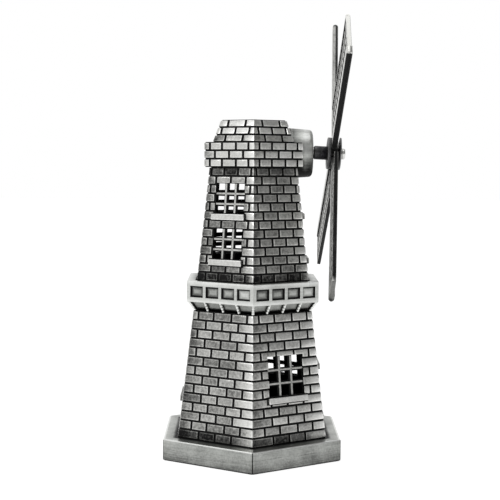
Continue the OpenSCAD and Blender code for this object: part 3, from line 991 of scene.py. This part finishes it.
def make_housing():
    """The drafted cup that carries the pivot, with a soft front edge."""
    node = "axle_housing"
    spots = [(math.hypot(p.x, p.z - PIVOT_POS.z), -p.y) for p in points_of(node)]
    back, front = min(z for _, z in spots), max(z for _, z in spots)
    back_r = max(r for r, _ in spots)
    edge = HOUSING_EDGE
    front_r = max(r for r, z in spots if abs(z - front) < 0.02) + edge
    bore = min(r for r, z in spots if abs(z - front) < 0.3)

    def place(x, y, z):
        return Vector((x, -z, PIVOT_POS.z + y))

    # Darker towards the back: painted shade where the drum meets the cap.
    profile = [(HOUSING_BORE, back, -1.0), (back_r, back, -0.8), (back_r - 0.1, back + 1.0, -0.2)]
    length = front - back
    for i, value in enumerate((-0.35, -0.15, 0.05, 0.3)):
        t = (i + 1) / 5
        profile.append((back_r + (front_r - back_r) * t, back + (length - edge) * t, value))
    profile += edge_round(front_r - edge, front - edge, edge, 0, 90, 0.2, 8)[:-2]
    profile += [(front_r - edge + 0.2, front - 0.02, -0.8), (front_r - edge - 0.4, front, -0.6)]
    inside = front - HOUSING_FACE
    profile += [(front_r * 0.5, front, 0.1), (bore + 2.0, front, -0.1), (bore, front, -0.6),
                (bore, inside, -1.0), (HOUSING_BORE - 0.4, inside, -1.0), (HOUSING_BORE, inside - 0.4, -1.0)]
    drum = Casting("housing.drum")
    # Painted shade over the lower half of the drum.
    add_lathe(drum, profile, 128, place, closed=True, painted_lower_shade=0.55)
    drum.build(MATERIALS["brushed"], "tower", "brushed_casting", node)


# ---------------------------------------------------------------- rotor

def make_hub():
    shape = turned("rotor_hub")
    rear, front = min(z for _, z in shape), max(z for _, z in shape)
    flange_r = max(r for r, _ in shape)
    flange = sorted({round(z, 3) for r, z in shape if r > flange_r - 0.05})
    bore = min(r for r, _ in shape)
    boss = max(r for r, z in shape if abs(z - rear) < 0.02)
    hub = Casting("rotor.hub")
    add_lathe(hub, [
        (bore, rear, -1.0), (boss - 0.3, rear, -0.2), (boss, rear + 0.3, 0.4),
        (boss, flange[0] - 0.5, 0.0), (boss + 0.15, flange[0] - 0.1, -0.8), (boss + 0.5, flange[0], -0.8),
        (flange_r - 0.6, flange[0], 0.1), (flange_r - 0.1, flange[0] + 0.06, 0.8),
        (flange_r, flange[0] + 0.2, 0.8), (flange_r, flange[-1] - 0.2, 0.2),
        (flange_r - 0.15, flange[-1], 0.2), (boss, flange[-1], -0.9), (boss, front, -0.9), (bore, front, -1.0),
    ], closed=True)
    hub.build(MATERIALS["dark"], "rotor", "dark_casting", "rotor_hub")


def make_hub_plate():
    shape = turned("hub_plate")
    rear, front = min(z for _, z in shape), max(z for _, z in shape)
    plate_r = max(r for r, _ in shape)
    seat = min(z for r, z in shape if r > plate_r - 0.05)
    bore = min(r for r, _ in shape)
    spacer = max(r for r, z in shape if abs(z - rear) < 0.02)
    plate = Casting("rotor.hub_plate")
    add_lathe(plate, [
        (bore, rear, -1.0), (spacer, rear, -0.8), (spacer, seat - 0.05, -0.8), (spacer + 0.3, seat, -0.8),
        (plate_r - 0.5, seat, 0.1), (plate_r - 0.08, seat + 0.06, 0.8), (plate_r, seat + 0.15, 0.9),
        (plate_r, front - 0.15, 0.9), (plate_r - 0.12, front, 0.8), (plate_r - 0.8, front, 0.1),
        (washer_radius() + 0.6, front, 0.0), (washer_radius(), front, -0.7), (bore, front, -1.0),
    ], closed=True)
    plate.build(MATERIALS["dark"], "rotor", "dark_casting", "hub_plate")


def washer_radius():
    return max(r for r, _ in turned("front_washer"))


def make_fasteners():
    for node in ("front_washer", "rear_washer"):
        shape = turned(node)
        rear, front = min(z for _, z in shape), max(z for _, z in shape)
        outer, inner = max(r for r, _ in shape), min(r for r, _ in shape)
        edge = (front - rear) / 4
        washer = Casting("fastener." + node)
        add_lathe(washer, [
            (inner, rear, -1.0), (outer - edge, rear, -0.3), (outer, rear + edge, 0.3),
            (outer, front - edge, 0.5), (outer - edge, front, 0.5), (inner, front, -0.8),
        ], 64, closed=True)
        washer.build(MATERIALS["steel"], "tower", "steel", node)
    make_screw()


def make_screw():
    """A pan-head screw with a cross recess; its shank shows only between the castings."""
    shape = turned("pivot_screw")
    tail, tip = min(z for _, z in shape), max(z for _, z in shape)
    head_r = max(r for r, _ in shape)
    seat = min(z for r, z in shape if r > head_r - 0.05)
    shank = max(r for r, z in shape if abs(z - tail) < 0.02)
    screw = Casting("fastener.pivot_screw")
    shaft = [(shank - 0.2, tail, -0.4), (shank - 0.02, tail + 0.2, 0.2), (shank - 0.02, seat + 0.2, 0.2)]
    add_lathe(screw, shaft, 48)
    slot_half = 0.27
    reach = 1.2
    depth = 0.7
    outline = []
    for k in range(4):
        turn = Matrix.Rotation(math.radians(90 * k), 2)
        for spot in ((slot_half, -slot_half), (reach, -slot_half), (reach, slot_half)):
            outline.append(turn @ Vector(spot))
    # The head is lofted out of the recess, whose outline spreads to the rim.
    fine = []
    for i, p in enumerate(outline):
        q = outline[(i + 1) % len(outline)]
        for t in (0.0, 0.25, 0.5, 0.75):
            fine.append(p.lerp(q, t))

    def recess(z, value, shrink=1.0):
        return [rotor_point(p.x * shrink, p.y * shrink, z) for p in fine], value

    def rim(radius, z, value):
        return [rotor_point(*(p.normalized() * radius), z) for p in fine], value

    screw.loft([
        recess(tip - depth, -1.0, 0.8), recess(tip - 0.06, -0.9), recess(tip + 0.0, 0.7, 1.03),
        rim(head_r - 0.62, tip - 0.02, 0.3), rim(head_r - 0.25, tip - 0.14, 0.4),
        rim(head_r - 0.05, tip - 0.4, 0.6), rim(head_r, tip - 0.65, 0.6), rim(head_r, seat + 0.1, 0.3),
        rim(head_r - 0.1, seat, -0.5), rim(shank * 0.5, seat, -1.0),
    ])
    screw.build(MATERIALS["steel"], "tower", "steel", "pivot_screw")


class Blade:
    """The measures of one sail, read from its CAD node, and its own frame: x across, y along it."""

    def __init__(self, name):
        spots = [rotor_local(p) for p in points_of("sail_" + name)]
        near = [p for p in spots if math.hypot(p.x, p.y) < 4.0]
        middle = sum((Vector((p.x, p.y)) for p in near), Vector((0, 0))) / len(near)
        self.turn = math.atan2(-middle.x, middle.y)
        local = [self.back(p) for p in spots]
        self.tip = max(p.y for p in local)
        self.root = min(p.y for p in local)
        self.root_t = 2 * max(p.z for p in local if p.y < self.root + 0.1)
        self.root_out = max(r for r, _ in turned("rotor_hub")) + ROOT_CLEAR
        self.stock_t = self.root_t - 2 * abs(LAYERS[name])
        self.layer = LAYERS[name]
        self.lean = 0.0  # middle() needs it; the real lean follows from the stock's far end
        end = [p.z for p in local if p.x < -STOCK_W / 4 and p.y > self.tip - self.stock_t / 2 - 0.2]
        self.lean = (sum(end) / len(end) - self.layer) / (self.tip - self.root_out)
        reach = max(p.x for p in local)
        rail = [p for p in local if p.x > reach - 2 * RAIL_W]
        self.lattice_in = min(p.y for p in rail)
        foot = [p for p in rail if p.y < self.lattice_in + 0.1]
        rise = sum(p.z for p in foot) / len(foot) - self.middle(self.lattice_in)
        self.tilt = math.atan2(rise, reach - RAIL_W / 2)
        self.width = reach / math.cos(self.tilt)

    def back(self, p):
        c, s = math.cos(self.turn), math.sin(self.turn)
        return Vector((c * p.x + s * p.y, -s * p.x + c * p.y, p.z))

    def middle(self, y):
        """How far in front of the rotor's middle plane the stock's middle is."""
        return self.layer + self.lean * max(0.0, y - self.root_out)

    def plain(self, x, y, z):
        c, s = math.cos(self.turn), math.sin(self.turn)
        return rotor_point(c * x - s * y, s * x + c * y, z)

    def point(self, x, y, z):
        return self.plain(x, y, z + self.middle(y))

    def tilted(self, x, y, z):
        c, s = math.cos(self.tilt), math.sin(self.tilt)
        return self.point(c * x - s * z, y, s * x + c * z)


def add_bar(casting, place, x0, x1, y0, y1, t, groove, values, round_end=0.0, slices=24):
    """A drafted cast bar along y, with a parting groove along its sides.

    values are the patina, with painted light and shade, of the rear half of a side, the groove, the front
    half, the rear and front faces, and the end. round_end is the radius that rounds the far end through the
    bar's thickness.
    """
    rear, line, fore, face, tip = values
    draft = 0.12
    seam = 0.12 * t
    section = []
    for sign in (1, -1):
        edge = x1 if sign > 0 else x0
        marks = (
            (-t / 2, draft + 0.16, face), (-t / 2 + 0.14, draft, rear), (seam - 0.22, 0.0, rear),
            (seam - 0.08, groove, line), (seam + 0.08, groove, line), (seam + 0.22, 0.0, fore),
            (t / 2 - 0.14, draft, fore), (t / 2, draft + 0.16, face),
        )
        run = marks if sign > 0 else tuple(reversed(marks))
        section.extend((edge - sign * into, z, value) for z, into, value in run)
    levels = [(y0 + (y1 - round_end - y0) * i / slices, 1.0) for i in range(slices + 1)]
    levels[0] = (y0, 0.88)
    if round_end:
        for i in range(1, 7):
            a = math.radians(85) * i / 6
            levels.append((y1 - round_end * (1 - math.sin(a)), max(0.12, math.cos(a))))
    else:
        levels[-1] = (y1, 0.88)
    rings = []
    middle = (x0 + x1) / 2
    for y, size in levels:
        inwards = 0.12 * (1 - size)
        spots = [place(x + (middle - x) * inwards, y, z * size) for x, z, value in section]
        ending = 1.0 if y > y1 - max(round_end, 0.1) else 0.0
        # The sail's painted light and shade, changed to the end's value near the tip, with a little random
        # change.
        wear_and_shading = [value + (tip - value) * ending + rng.uniform(-0.12, 0.12) for x, z, value in section]
        rings.append((spots, [max(-1.0, min(1.0, value)) for value in wear_and_shading]))
    casting.loft(rings)


def make_sails():
    """Each sail has its own painted light and shade over dark parting grooves: values for add_bar, of the
    stock and of the rail.
    """
    sail_light_and_shade = {
        "a": ((-0.85, -1.0, -0.5, 0.4, 0.6), (-1.0, -1.0, -1.0, 0.6, 0.9)),
        "b": ((-0.08, -0.35, -0.15, 0.3, -0.1), (-0.75, -1.0, -0.55, 0.6, 0.3)),
        "c": ((-0.35, -0.5, -0.35, 0.3, -0.2), (-0.38, -0.42, -0.38, 0.6, -0.3)),
        "d": ((-0.05, -1.0, -0.4, 0.4, -0.4), (-0.05, -1.0, -0.35, 0.5, 0.0)),
    }
    for name in SAILS:
        blade = Blade(name)
        stock, rail = sail_light_and_shade[name]
        sail = Casting("rotor.sail_" + name)
        root_l = blade.root_out - blade.root
        add_box(sail, blade.plain, (0, blade.root + root_l / 2, 0), (STOCK_W, root_l, blade.root_t), 0.2,
                (-0.2, stock[2], -0.2, 0.2))
        add_bar(sail, blade.point, -STOCK_W / 2, STOCK_W / 2, blade.root_out - 0.5, blade.tip,
                blade.stock_t, STOCK_GROOVE, stock, blade.stock_t / 2)
        add_bar(sail, blade.tilted, blade.width - RAIL_W, blade.width, blade.lattice_in, blade.tip,
                RAIL_T, RAIL_GROOVE, rail)
        inner = (blade.width + STOCK_W / 2) / 2
        length = blade.tip - blade.lattice_in
        # Painted shade on the battens' sides and painted highlights on their faces and edges.
        lattice_light_and_shade = (0.8, -1.0, 0.8, 0.95)
        add_box(sail, blade.tilted, (inner - RAIL_W / 2, blade.lattice_in + length / 2, 0),
                (RAIL_W, length - 0.2, BATTEN_T), 0.12, lattice_light_and_shade)
        pitch = (length - RAIL_W) / LATTICE_CELLS
        for i in range(LATTICE_CELLS + 1):
            last = i == LATTICE_CELLS
            y = blade.lattice_in + i * pitch + RAIL_W / 2
            size = (blade.width - BATTEN_SHORT, RAIL_W, RAIL_T if last else BATTEN_T)
            add_box(sail, blade.tilted, (BATTEN_START + size[0] / 2, y, 0), size, 0.12,
                    (0.6, rail[4], 0.6, 0.3) if last else lattice_light_and_shade)
        sail.build(MATERIALS["sail"], "rotor", "sail_casting", "sail_" + name)


# ---------------------------------------------------------------- stage

def make_camera():
    """The photograph's camera: about life-size reading distance, a little above the gallery."""
    distance, height = 435.36, 115.55
    bearing, heading, pitch, roll = (math.radians(v) for v in (0.713, -0.573, 4.557, -0.4))
    flat = math.cos(pitch)
    ahead = Vector((math.cos(heading) * flat, math.sin(heading) * flat, -math.sin(pitch)))
    level = Vector((math.sin(heading), -math.cos(heading), 0))
    above = level.cross(ahead)
    right = math.cos(roll) * level - math.sin(roll) * above
    up = math.sin(roll) * level + math.cos(roll) * above
    lens = bpy.data.cameras.new("camera")
    lens.sensor_width = 36
    lens.lens = 78.13
    camera = bpy.data.objects.new("camera", lens)
    matrix = Matrix((right, up, -ahead)).transposed().to_4x4()
    spot = Vector((-distance * math.cos(bearing), distance * math.sin(bearing), height))
    matrix.translation = spot * MM
    camera.matrix_world = matrix
    bpy.context.scene.collection.objects.link(camera)
    bpy.context.scene.camera = camera


def area_light(name, place, target, size, power, colour=(1, 1, 1)):
    light = bpy.data.lights.new(name, "AREA")
    light.shape = "DISK"
    light.size = size * MM
    light.energy = power
    light.color = colour
    holder = bpy.data.objects.new(name, light)
    spot = Vector(place) * MM
    holder.location = spot
    holder.rotation_euler = (Vector(target) * MM - spot).to_track_quat("-Z", "Y").to_euler()
    bpy.context.scene.collection.objects.link(holder)


def make_world():
    """A white room that is bright on the +Y side and dimmer on the rotor's side."""
    world = bpy.data.worlds.new("studio")
    bpy.context.scene.world = world
    world.use_nodes = True
    tree = world.node_tree
    back = tree.nodes["Background"]
    place = node_of(tree, "ShaderNodeTexCoord")
    split = node_of(tree, "ShaderNodeSeparateXYZ")
    tree.links.new(place.outputs["Generated"], split.inputs[0])
    across = math_node(tree, "MULTIPLY_ADD", split.outputs["Y"], 0.5, 0.5)
    side = ramp(tree, across, ((0.0, 0.25), (0.3, 0.31), (0.6, 0.46), (1.0, 0.9)))
    rise = math_node(tree, "MULTIPLY_ADD", split.outputs["Z"], 0.5, 0.5)
    height = ramp(tree, rise, ((0.3, 0.6), (0.5, 1.0), (0.6, 0.8), (1.0, 1.0)))
    glow = node_of(tree, "ShaderNodeMix", data_type="RGBA", blend_type="MULTIPLY")
    glow.inputs["Factor"].default_value = 1.0
    tree.links.new(side, glow.inputs["A"])
    tree.links.new(height, glow.inputs["B"])
    backdrop = node_of(tree, "ShaderNodeMix", data_type="RGBA")
    tree.links.new(ramp(tree, split.outputs["X"], ((0.35, 0.0), (0.85, 1.0))), backdrop.inputs["Factor"])
    tree.links.new(glow.outputs["Result"], backdrop.inputs["A"])
    backdrop.inputs["B"].default_value = (1, 1, 1, 1)
    path = node_of(tree, "ShaderNodeLightPath")
    seen = node_of(tree, "ShaderNodeMix", data_type="RGBA")
    tree.links.new(path.outputs["Is Camera Ray"], seen.inputs["Factor"])
    tree.links.new(backdrop.outputs["Result"], seen.inputs["A"])
    seen.inputs["B"].default_value = (1, 1, 1, 1)
    tree.links.new(seen.outputs["Result"], back.inputs["Color"])


def make_floor():
    mesh = bpy.data.meshes.new("floor")
    reach = 3000
    corners = ((-reach, -reach), (reach, -reach), (reach, reach), (-reach, reach))
    mesh.from_pydata([Vector((x, y, 0)) * MM for x, y in corners], [], [(0, 1, 2, 3)])
    made = bpy.data.materials.new("pale_floor")
    made.use_nodes = True
    shader = made.node_tree.nodes["Principled BSDF"]
    shader.inputs["Base Color"].default_value = (0.35, 0.35, 0.35, 1)
    shader.inputs["Roughness"].default_value = 0.9
    shader.inputs["Emission Color"].default_value = (1, 1, 1, 1)
    shader.inputs["Emission Strength"].default_value = 0.86
    mesh.materials.append(made)
    floor = bpy.data.objects.new("floor", mesh)
    bpy.context.scene.collection.objects.link(floor)


MATERIALS = make_materials()
make_camera()
make_world()
make_floor()
area_light("key", (-420, 420, 420), (0, 0, 90), 320, 0.8)
area_light("top", (0, 60, 620), (0, 0, 0), 600, 0.9)
make_base()
make_tower()
make_door()
make_gallery()
make_cap()
make_housing()
make_hub()
make_sails()
make_hub_plate()
make_fasteners()
for node_name, finish in (("base_pad", felt_material()), ("base_screws", MATERIALS["steel"]),
                          ("pivot_nut", MATERIALS["steel"])):
    kept = frame["nodes"][node_name]
    kept.data.materials.clear()
    kept.data.materials.append(finish)
bpy.context.scene.view_settings.view_transform = "Standard"
